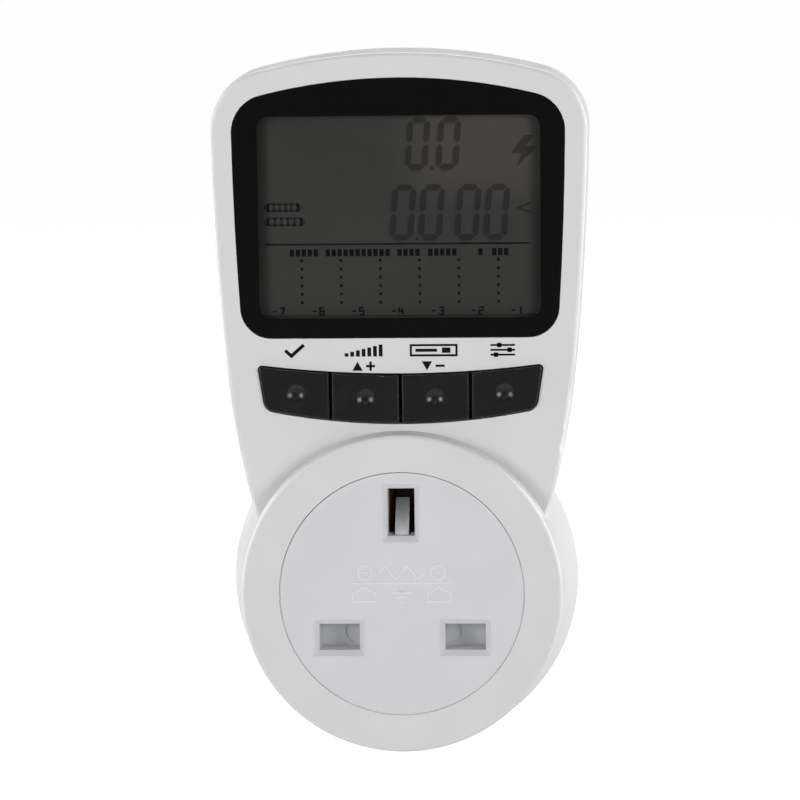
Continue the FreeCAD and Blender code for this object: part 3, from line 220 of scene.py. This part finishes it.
def window_cover(name):
    """Clear plastic window: a printed black border round a rounded clear view of the display."""
    n = Nodes(name)
    n.link(n.spread(n.noise(LENS_SCALE, 3.0), 0.10, 0.16), n.shader.inputs["Roughness"])
    n.set(Base_Color=(0.0054, 0.0050, 0.0050, 1.0), Specular_IOR_Level=0.12)
    clear = n.add("ShaderNodeBsdfTransparent", Color=(0.93, 0.93, 0.93, 1.0))
    gloss = n.add("ShaderNodeBsdfGlossy", Color=(*WHITE, 1.0), Roughness=0.06)
    fresnel = n.add("ShaderNodeFresnel", IOR=1.12)
    view = n.add("ShaderNodeMixShader")
    n.link(fresnel.outputs["Fac"], view.inputs["Fac"])
    n.link(clear.outputs["BSDF"], view.inputs[1])
    n.link(gloss.outputs["BSDF"], view.inputs[2])

    # Distance outside a rectangle that is a corner's radius smaller than the view all round
    half_height = (VIEW_TOP - VIEW_BOTTOM) / 2
    middle = Vector((0.0, 0.0, (VIEW_BOTTOM + VIEW_TOP) / 2)) * MM
    reach = Vector((VIEW_HALF_WIDTH - VIEW_CORNER, ANY_DEPTH, half_height - VIEW_CORNER)) * MM
    place = n.place
    for operation, value in (("SUBTRACT", middle), ("ABSOLUTE", None), ("SUBTRACT", reach),
                             ("MAXIMUM", Vector((0.0, 0.0, 0.0)))):
        step = n.add("ShaderNodeVectorMath", operation=operation)
        n.link(place, step.inputs[0])
        if value is not None:
            step.inputs[1].default_value = value
        place = step.outputs["Vector"]
    length = n.add("ShaderNodeVectorMath", operation="LENGTH")
    n.link(place, length.inputs[0])
    border = n.add("ShaderNodeMath", operation="GREATER_THAN")
    n.link(length.outputs["Value"], border.inputs[0])
    border.inputs[1].default_value = VIEW_CORNER * MM

    mix = n.add("ShaderNodeMixShader")
    n.link(border.outputs["Value"], mix.inputs["Fac"])
    n.link(view.outputs["Shader"], mix.inputs[1])
    n.link(n.shader.outputs["BSDF"], mix.inputs[2])
    n.link(mix.outputs["Shader"], n.output.inputs["Surface"])
    return n.material


def lcd_film(name, dark, light):
    """Polariser film: cloudy matte grey, with a painted reflection that makes it lighter to the upper
    right and a painted shadow of the window's border that makes it darker by its side edges.
    """
    n = Nodes(name)
    cloud = n.two_tone(n.spread(n.noise(CLOUD_SCALE, 3.0, 0.55), 0.0, 1.0), dark, light)
    axes = n.add("ShaderNodeSeparateXYZ")
    n.link(n.place, axes.inputs["Vector"])
    # Painted reflection: the film is made lighter towards the upper right.
    glow = n.add("ShaderNodeMath", operation="MULTIPLY")
    for socket, axis, start, full in PAINTED_REFLECTION_RAMPS:
        ramp = n.add("ShaderNodeMapRange", interpolation_type="SMOOTHSTEP")
        n.link(axes.outputs[axis], ramp.inputs["Value"])
        ramp.inputs["From Min"].default_value = start
        ramp.inputs["From Max"].default_value = full
        n.link(ramp.outputs["Result"], glow.inputs[socket])
    painted_reflection = n.two_tone(glow.outputs["Value"], WHITE, PAINTED_REFLECTION_TINT)
    # Painted shadow of the window's border: the film is made darker by its side edges.
    across = n.add("ShaderNodeMath", operation="ABSOLUTE")
    n.link(axes.outputs["X"], across.inputs[0])
    in_border_shadow = n.spread(across.outputs["Value"], 0.0, 1.0, BORDER_SHADOW_START, BORDER_SHADOW_FULL)
    border_shadow = n.two_tone(in_border_shadow, WHITE, BORDER_SHADOW_TINT)
    for factor in (painted_reflection, border_shadow):
        product = n.add("ShaderNodeVectorMath", operation="MULTIPLY")
        n.link(cloud, product.inputs[0])
        n.link(factor, product.inputs[1])
        cloud = product.outputs["Vector"]
    n.link(cloud, n.shader.inputs["Base Color"])
    gloss = n.spread(n.noise(FILM_SCALE, 2.0), FILM_ROUGHNESS - 0.03, FILM_ROUGHNESS + 0.03)
    n.link(gloss, n.shader.inputs["Roughness"])
    n.set(Specular_IOR_Level=0.15)
    return n.material


def make_materials():
    return {
        "white": moulded("white_shell_plastic", (0.70, 0.70, 0.71), 0.38),
        "white_insert": moulded("white_insert_plastic", (0.68, 0.68, 0.70), 0.42),
        # The disc's own plastic painted lighter: a painted highlight for the light its raised marks
        # catch.
        "painted_lit_mark": moulded("painted_lit_mark_plastic", (0.74, 0.74, 0.755), 0.5),
        "white_shutter": moulded("white_shutter_plastic", (0.67, 0.68, 0.69), 0.45),
        "frame": moulded("natural_plastic", (0.66, 0.65, 0.61), 0.5),
        "key": moulded("black_key_plastic", (0.0074, 0.0070, 0.0068), 0.24, grain=0.18,
                       specular=0.45, mottle=0.1),
        "ink": moulded("black_print", (0.005, 0.005, 0.0055), 0.55, specular=0.1),
        "lcd_ink": moulded("lcd_print", (0.003, 0.003, 0.003), 0.6, specular=0.1),
        "black": moulded("black_epoxy", (0.015, 0.015, 0.015), 0.45),
        "rubber": moulded("black_rubber", (0.02, 0.02, 0.02), 0.7),
        "sleeve": moulded("black_sleeve_plastic", (0.012, 0.012, 0.012), 0.42),
        "board": moulded("solder_mask", (0.02, 0.16, 0.05), 0.3),
        "yellow": moulded("yellow_case", (0.75, 0.5, 0.04), 0.4),
        "blue": moulded("blue_coating", (0.03, 0.12, 0.45), 0.35),
        "brown": moulded("brown_insulation", (0.16, 0.06, 0.02), 0.4),
        "can": moulded("capacitor_sleeve", (0.02, 0.03, 0.10), 0.3),
        "coat": moulded("resistor_coat", (0.35, 0.45, 0.5), 0.4),
        "steel": metal("zinc_plated_steel", (0.62, 0.62, 0.64), 0.32),
        "nickel": metal("nickel_strip", (0.68, 0.65, 0.6), 0.3),
        "brass": metal("pin_brass", (0.80, 0.62, 0.30), 0.25),
        "copper": metal("contact_bronze", (0.42, 0.20, 0.12), 0.42),
        "foil": metal("reflector_foil", (0.6, 0.6, 0.6), 0.5),
        "window": window_cover("window_lens"),
        "film": lcd_film("lcd_polariser", (0.047, 0.047, 0.0445), (0.054, 0.0535, 0.0505)),
        "segment": lcd_film("lcd_segment", (0.021, 0.022, 0.022), (0.026, 0.026, 0.026)),
        "cast": lcd_film("lcd_cast_shadow", (0.038, 0.038, 0.0365), (0.044, 0.0435, 0.042)),
    }


# Which CAD nodes have each look
LOOKS = {
    "white": ["front_housing", "rear_housing"],
    "white_insert": ["socket_insert"],
    "white_shutter": ["shutter"],
    "frame": ["lcd_frame", "contact_carrier", "pin_clamp"] + ["switch_plunger_" + k for k in KEYS],
    "key": ["button_" + k for k in KEYS],
    "black": ["controller_chip", "board_header", "metering_chip", "bridge_rectifier",
              "memory_chip"] + ["switch_body_" + k for k in KEYS],
    "rubber": ["zebra_strip"],
    "sleeve": ["line_pin_sleeve", "neutral_pin_sleeve"],
    "board": ["display_board", "metering_board"],
    "yellow": ["film_capacitor"],
    "blue": ["varistor", "neutral_lead"],
    "brown": ["line_lead"],
    "can": ["electrolytic_capacitor"],
    "coat": ["fusible_resistor"],
    "steel": ["backup_battery", "crystal", "shutter_spring", "housing_screws",
              "display_board_screws", "metering_board_screws", "carrier_screws", "clamp_screws"],
    "nickel": ["battery_clip", "shunt_resistor"],
    "brass": ["line_pin", "neutral_pin", "earth_pin"],
    "copper": ["line_contact", "neutral_contact", "earth_contact", "line_strip", "neutral_strip",
               "earth_strip"],
    "foil": ["lcd_reflector"],
    "window": ["display_window"],
    "film": ["lcd_glass"],
}


def dress_frame(materials):
    """Gives every CAD node its material."""
    for look, nodes in LOOKS.items():
        for node in nodes:
            slots = NODES[node].data.materials
            slots.clear()
            slots.append(materials[look])


# Flat shapes: prints, display segments and raised marks

def add_mesh(name, mesh, material):
    """Makes a finished bmesh an object of the scene."""
    data = bpy.data.meshes.new(name)
    mesh.to_mesh(data)
    mesh.free()
    data.materials.append(material)
    obj = bpy.data.objects.new(name, data)
    bpy.context.scene.collection.objects.link(obj)
    return obj


class Sketch:
    """Flat shapes in mm as seen from the front, standing a little way out of a surface."""

    CIRCLE_STEPS = 24
    SHARPEST = 0.4          # limits how far a mitred corner reaches out

    def __init__(self, surface_y, height):
        self.mesh = bmesh.new()
        self.depths = (surface_y - height, surface_y)

    def slab(self, points):
        front, back = [[self.mesh.verts.new((x * MM, y, z * MM)) for x, z in points]
                       for y in self.depths]
        self.mesh.faces.new(front)
        self.mesh.faces.new(list(reversed(back)))
        for i in range(len(points)):
            self.mesh.faces.new((front[i - 1], front[i], back[i], back[i - 1]))

    def bar(self, x, z, width, height):
        """A rectangle from its middle."""
        w, h = width / 2, height / 2
        self.slab([(x - w, z - h), (x + w, z - h), (x + w, z + h), (x - w, z + h)])

    def stroke(self, points, width, closed=False):
        """A line of even width, mitred at its corners."""
        spots = [Vector(p) for p in points]
        last = len(spots) - 1
        sides = []
        for i, spot in enumerate(spots):
            before = spots[i - 1] if i or closed else spot
            after = spots[(i + 1) % len(spots)] if i < last or closed else spot
            ways = [(b - a).normalized() for a, b in ((before, spot), (spot, after)) if a != b]
            way = (ways[0] + ways[-1]).normalized()
            reach = width / 2 / max(self.SHARPEST, way.dot(ways[0]))
            across = Vector((-way.y, way.x)) * reach
            sides.append((spot + across, spot - across))
        ends = sides[1:] + sides[:1] if closed else sides[1:]
        for (a, b), (c, d) in zip(sides, ends):
            self.slab([b, d, c, a])

    def circle(self, x, z, radius, width):
        turn = [math.tau * i / self.CIRCLE_STEPS for i in range(self.CIRCLE_STEPS)]
        self.stroke([(x + radius * math.cos(a), z + radius * math.sin(a)) for a in turn], width,
                    closed=True)

    def build(self, name, material):
        bmesh.ops.recalc_face_normals(self.mesh, faces=self.mesh.faces)
        obj = add_mesh(name, self.mesh, material)
        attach(obj, "case")


# The display's figures and signs, in mm
FIGURES = [(1.0, 74.2, 4.0, 9.3), (6.4, 74.2, 4.0, 9.3)]        # x, z, width and height of each 0
FIGURES += [(x, 61.9, 4.2, 9.8) for x in (-1.8, 3.2, 9.6, 14.6)]
FIGURE_LINE = 1.05
FIGURE_SLANT = 0.08
CAST_SHIFT = (-0.35, -0.45)     # the shadow falls to the lower left, and is a little larger
CAST_GROWTH = 0.3
CAST_LINE = 1.3
POINTS = [(5.8, 74.5), (3.1, 62.2)]
POINT_SIZE = 0.65
BOLT = [(21.9, 80.1), (19.6, 77.0), (21.5, 77.0), (20.6, 74.6), (24.2, 78.2), (22.2, 78.2),
        (23.6, 80.1)]
ARROW = [(23.0, 68.3), (20.8, 67.5), (23.0, 66.7)]
ARROW_LINE = 0.35
TAGS = ((67.8, 6.6), (65.3, 7.2))       # height above the origin, and width
TAG_LEFT = -23.7
TAG_HEIGHT = 1.5
TAG_EDGE = 0.3
TAG_STROKES = 6
TAG_STROKE = 0.45

# The scale under them: a rule, runs of bars, dotted columns and numbered places
RULE = (-0.45, 61.3, 46.3, 0.28)
CAPTION = [(-18.9, 5), (-12.6, 11), (0.0, 4), (5.4, 5), (14.2, 1), (16.6, 3)]   # start and count
CAPTION_PITCH = 1.05
CAPTION_Z = 59.8
CAPTION_BAR = (0.75, 1.25)
DOT_X, DOT_Z = -17.2, 51.05
DOT_PITCH_X, DOT_PITCH_Z = 6.9, 1.48
DOTS = 6                        # columns, and dots in each
DOT_SIZE = 0.5
PLACES = 7
PLACE_X, PLACE_PITCH = -21.3, 6.99
MINUS = (0.65, 0.28)
MINUS_Z = 49.5
SMALL_X, SMALL_Z = 0.2, 48.9    # corner of a small figure, from its place
SMALL_GRID = (0.36, 0.3)
SMALL_LINE = 0.32
SCALE_FIGURES = {               # lines of each small figure, on a grid two wide and four high
    1: [[(1, 0), (1, 4)]],
    2: [[(0, 4), (2, 4), (2, 2), (0, 2), (0, 0), (2, 0)]],
    3: [[(0, 4), (2, 4), (2, 0), (0, 0)], [(0.5, 2), (2, 2)]],
    4: [[(0, 4), (0, 1.6), (2, 1.6)], [(1.5, 4), (1.5, 0)]],
    5: [[(2, 4), (0, 4), (0, 2), (2, 2), (2, 0), (0, 0)]],
    6: [[(2, 4), (0, 4), (0, 0), (2, 0), (2, 2), (0, 2)]],
    7: [[(0, 4), (2, 4), (0.8, 0)]],
}


def zero(sketch, x, z, width, height, line):
    """A seven-segment 0 with its lower left corner at x, z."""
    t = line / 2
    gap = line * 0.12
    half = height / 2
    left, right = t + gap, width - t - gap
    shapes = [[(left, v), (left + t, v - t), (right - t, v - t), (right, v), (right - t, v + t),
               (left + t, v + t)] for v in (t, height - t)]
    for u in (t, width - t):
        for low, high in ((t + gap, half - gap), (half + gap, height - t - gap)):
            shapes.append([(u, low), (u + t, low + t), (u + t, high - t), (u, high),
                           (u - t, high - t), (u - t, low + t)])
    for shape in shapes:
        sketch.slab([(x + u + FIGURE_SLANT * v, z + v) for u, v in shape])


def tag(sketch, x, z, width, height):
    """A rounded tag with a row of gaps in it."""
    r = height / 2
    for side in (-1, 1):
        turn = [math.pi * i / 8 - math.pi / 2 for i in range(9)]
        sketch.slab([(x + side * (width / 2 - r + r * math.cos(a)), z + r * math.sin(a))
                     for a in turn])
    for side in (-1, 1):
        sketch.bar(x, z + side * (r - TAG_EDGE / 2), width - 2 * r, TAG_EDGE)
    for i in range(TAG_STROKES):
        sketch.bar(x - width / 2 + r + (width - 2 * r) * i / (TAG_STROKES - 1), z, TAG_STROKE, height)


def draw_display(materials):
    """Figures with the soft shadow that they cast on the reflector, signs, and the scale."""
    cast = Sketch(GLASS_Y, PRINT_THICKNESS / 2)
    figures = Sketch(GLASS_Y, PRINT_THICKNESS)
    for x, z, width, height in FIGURES:
        zero(cast, x + CAST_SHIFT[0], z + CAST_SHIFT[1], width + CAST_GROWTH, height + CAST_GROWTH,
             CAST_LINE)
        zero(figures, x, z, width, height, FIGURE_LINE)
    for x, z in POINTS:
        figures.bar(x, z, POINT_SIZE, POINT_SIZE)
    figures.slab(BOLT)
    figures.stroke(ARROW, ARROW_LINE)
    for z, width in TAGS:
        tag(figures, TAG_LEFT + width / 2, z, width, TAG_HEIGHT)
    cast.build("lcd_shadows", materials["cast"])
    figures.build("lcd_segments", materials["segment"])

    scale = Sketch(GLASS_Y, PRINT_THICKNESS)
    scale.bar(*RULE)
    for first, count in CAPTION:
        for i in range(count):
            scale.bar(first + CAPTION_PITCH * i, CAPTION_Z, *CAPTION_BAR)
    for column in range(DOTS):
        for row in range(DOTS):
            scale.bar(DOT_X + DOT_PITCH_X * column, DOT_Z + DOT_PITCH_Z * row, DOT_SIZE, DOT_SIZE)
    for place in range(PLACES):
        x = PLACE_X + PLACE_PITCH * place
        scale.bar(x - 0.75, MINUS_Z, *MINUS)
        for line in SCALE_FIGURES[PLACES - place]:
            scale.stroke([(x + SMALL_X + SMALL_GRID[0] * u, SMALL_Z + SMALL_GRID[1] * v)
                          for u, v in line], SMALL_LINE)
    scale.build("lcd_scale", materials["lcd_ink"])


# Key symbols, in mm
UPPER_ROW, LOWER_ROW = 42.75, 40.0      # heights of the rows' middles
SIGN_SIZE, SIGN_LINE = 1.6, 0.42        # the plus and the minus
STEPS = 7                               # rising bars
STEP_BASE, STEP_RISE = 0.6, 0.25
SLIDERS = (16.8, 19.2, 17.4)            # where each line's knob is
SLIDER_PITCH = 0.85


def draw_labels(ink):
    """Key symbols printed on the face above the keys: two rows over the middle keys."""
    s = Sketch(FACE_Y, PRINT_THICKNESS)
    upper, lower = UPPER_ROW, LOWER_ROW
    # Check mark
    s.stroke([(-20.2, upper + 0.1), (-19.1, upper - 0.9), (-16.9, upper + 1.05)], 0.6)
    # Rising bars over an up arrow and a plus
    for i in range(STEPS):
        height = STEP_BASE + STEP_RISE * i
        s.bar(-9.4 + i, upper - 1.05 + height / 2, 0.66, height)
    s.slab([(-8.4, lower - 0.8), (-6.6, lower - 0.8), (-7.5, lower + 0.8)])
    s.bar(-5.2, lower, SIGN_SIZE, SIGN_LINE)
    s.bar(-5.2, lower, SIGN_LINE, SIGN_SIZE)
    # Small screen over a down arrow and a minus
    s.stroke([(1.9, upper - 0.9), (9.9, upper - 0.9), (9.9, upper + 0.9), (1.9, upper + 0.9)], 0.38,
             closed=True)
    s.bar(4.6, upper, 3.8, 0.55)
    s.bar(8.1, upper, 1.5, 0.95)
    s.slab([(3.8, lower + 0.8), (5.6, lower + 0.8), (4.7, lower - 0.8)])
    s.bar(7.0, lower, SIGN_SIZE, SIGN_LINE)
    # Slider lines
    for i, knob in enumerate(SLIDERS):
        z = upper - SLIDER_PITCH + SLIDER_PITCH * i
        s.bar(18.0, z, 4.3, 0.34)
        s.bar(knob, z, 0.75, 0.8)
    s.build("key_symbols", ink)


# Marks on the disc, in mm
MARK_LINE = 0.42
MARK_X = 6.4                            # middle of the outer circles
MARK_Z = 3.9                            # middle of the wave and the circles
HOUSE = [(4.6, -1.3), (4.6, 0.2), (6.6, 1.3), (8.6, 0.2), (8.6, -1.3)]
EARTH_BARS = ((1.8, 0.3), (1.15, -0.5), (0.5, -1.3))       # half width and height above the origin


def draw_disc_marks(plastic):
    """Raised rule and symbols moulded in the socket face, in the disc's plastic painted lighter as a
    painted highlight.
    """
    s = Sketch(INSERT_Y, RAISED)
    s.bar(0.0, 2.0, 17.6, 0.3)
    s.stroke([(x / 10, MARK_Z + math.sin(math.tau * x / 40)) for x in range(-40, 41, 2)], MARK_LINE)
    for side in (-1, 1):
        s.circle(side * MARK_X, MARK_Z, 1.25, MARK_LINE)
        s.bar(side * MARK_X, MARK_Z, 0.9, MARK_LINE)
        s.stroke([(side * x, z) for x, z in HOUSE], MARK_LINE, closed=True)
    s.bar(0.0, 0.85, MARK_LINE, 0.9)
    for half, z in EARTH_BARS:
        s.bar(0.0, z, 2 * half, MARK_LINE)
    s.build("socket_marks", plastic)


# Shutter spring

WIRE_RADIUS = 0.15 * MM
WIRE_SIDES = 10
SPRING_TURNS = 7
TURN_STEPS = 28


def wind_spring(steel):
    """Return spring under the shutter: a helix wound at its rest length and fixed to the case; the
    real spring closes up as the shutter goes down.
    """
    low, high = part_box("shutter_spring")
    middle = (low + high) / 2
    radius = (high.x - low.x) / 2 - WIRE_RADIUS
    steps = SPRING_TURNS * TURN_STEPS
    mesh = bmesh.new()
    rings = []
    for i in range(steps + 1):
        angle = math.tau * i / TURN_STEPS
        outward = Vector((math.cos(angle), math.sin(angle), 0.0))
        height = low.z + WIRE_RADIUS + i / steps * (high.z - low.z - 2 * WIRE_RADIUS)
        spot = Vector((middle.x, middle.y, height)) + outward * radius
        ring = []
        for k in range(WIRE_SIDES):
            around = math.tau * k / WIRE_SIDES
            ring.append(mesh.verts.new(spot + WIRE_RADIUS * (
                outward * math.cos(around) + Vector((0, 0, 1)) * math.sin(around))))
        rings.append(ring)
    for a, b in zip(rings, rings[1:]):
        for k in range(WIRE_SIDES):
            mesh.faces.new((a[k - 1], a[k], b[k], b[k - 1]))
    mesh.faces.new(rings[0])
    mesh.faces.new(list(reversed(rings[-1])))
    bmesh.ops.recalc_face_normals(mesh, faces=mesh.faces)
    coil = add_mesh("shutter_coil", mesh, steel)
    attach(coil, "case")
    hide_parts("shutter_spring")
    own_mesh(coil)


# Stage

# The world's light by height: it glows from below up to the horizon and is dim above
WORLD_GLOW = (("From Min", -0.6), ("From Max", 0.0), ("To Min", 0.80), ("To Max", 0.11))
FLOOR_HALF_SIZE = 30.0
FLOOR_GAP = 0.2 * MM            # below the object
FLOOR_COLOUR = (0.2, 0.2, 0.2, 1.0)
FLOOR_LIGHT = 0.97
LIGHT_TARGET = (0.0, -0.03, 0.03)
# Name, place, size in metres and power in watts. The first two stand on both sides
PAIRED_LIGHTS = (("key", (0.60, -0.70, 0.14), 0.34, 3.3), ("side", (0.55, 0.12, 0.15), 0.5, 3.4))
SINGLE_LIGHTS = (("fill", (0.0, -0.66, 0.42), 0.4, 0.25), ("top", (0.0, 0.40, 0.62), 0.5, 3.0))


def area_light(name, place, size, power):
    data = bpy.data.lights.new(name, "AREA")
    data.shape = "SQUARE"
    data.size = size
    data.energy = power
    light = bpy.data.objects.new(name, data)
    light.location = place
    way = Vector(LIGHT_TARGET) - Vector(place)
    light.rotation_euler = way.to_track_quat("-Z", "Y").to_euler()
    bpy.context.scene.collection.objects.link(light)


def make_world():
    """White to the camera from every side; graded, and mostly darker, as a source of light."""
    world = bpy.data.worlds.new("studio")
    world.use_nodes = True
    tree = world.node_tree
    background = tree.nodes["Background"]
    background.inputs["Color"].default_value = (*WHITE, 1.0)
    axes = tree.nodes.new("ShaderNodeSeparateXYZ")
    way = tree.nodes.new("ShaderNodeTexCoord").outputs["Generated"]
    tree.links.new(way, axes.inputs["Vector"])
    glow = tree.nodes.new("ShaderNodeMapRange")
    tree.links.new(axes.outputs["Z"], glow.inputs["Value"])
    for name, value in WORLD_GLOW:
        glow.inputs[name].default_value = value
    backdrop = tree.nodes.new("ShaderNodeMath")
    backdrop.operation = "MAXIMUM"
    tree.links.new(glow.outputs["Result"], backdrop.inputs[0])
    seen = tree.nodes.new("ShaderNodeLightPath").outputs["Is Camera Ray"]
    tree.links.new(seen, backdrop.inputs[1])
    tree.links.new(backdrop.outputs["Value"], background.inputs["Strength"])
    bpy.context.scene.world = world
    bpy.context.scene.view_settings.view_transform = "Standard"


def make_floor():
    """A floor that stays pale from every side and lights nothing: the world gives the glow."""
    n = Nodes("pale_floor")
    n.set(Base_Color=FLOOR_COLOUR, Roughness=0.9, Specular_IOR_Level=0.0,
          Emission_Color=(*WHITE, 1.0), Emission_Strength=FLOOR_LIGHT)
    mesh = bmesh.new()
    bmesh.ops.create_grid(mesh, x_segments=1, y_segments=1, size=FLOOR_HALF_SIZE)
    bmesh.ops.translate(mesh, verts=mesh.verts, vec=(0.0, 0.0, FLOOR_Z - FLOOR_GAP))
    floor = add_mesh("floor", mesh, n.material)
    floor.visible_diffuse = False
    floor.visible_glossy = False


def make_lights():
    for side in (-1, 1):
        for name, (x, y, z), size, power in PAIRED_LIGHTS:
            area_light(name, (side * x, y, z), size, power)
    for name, place, size, power in SINGLE_LIGHTS:
        area_light(name, place, size, power)


def main():
    make_camera()
    materials = make_materials()
    dress_frame(materials)
    draw_display(materials)
    draw_labels(materials["ink"])
    draw_disc_marks(materials["painted_lit_mark"])
    wind_spring(materials["steel"])
    make_world()
    make_floor()
    make_lights()


main()
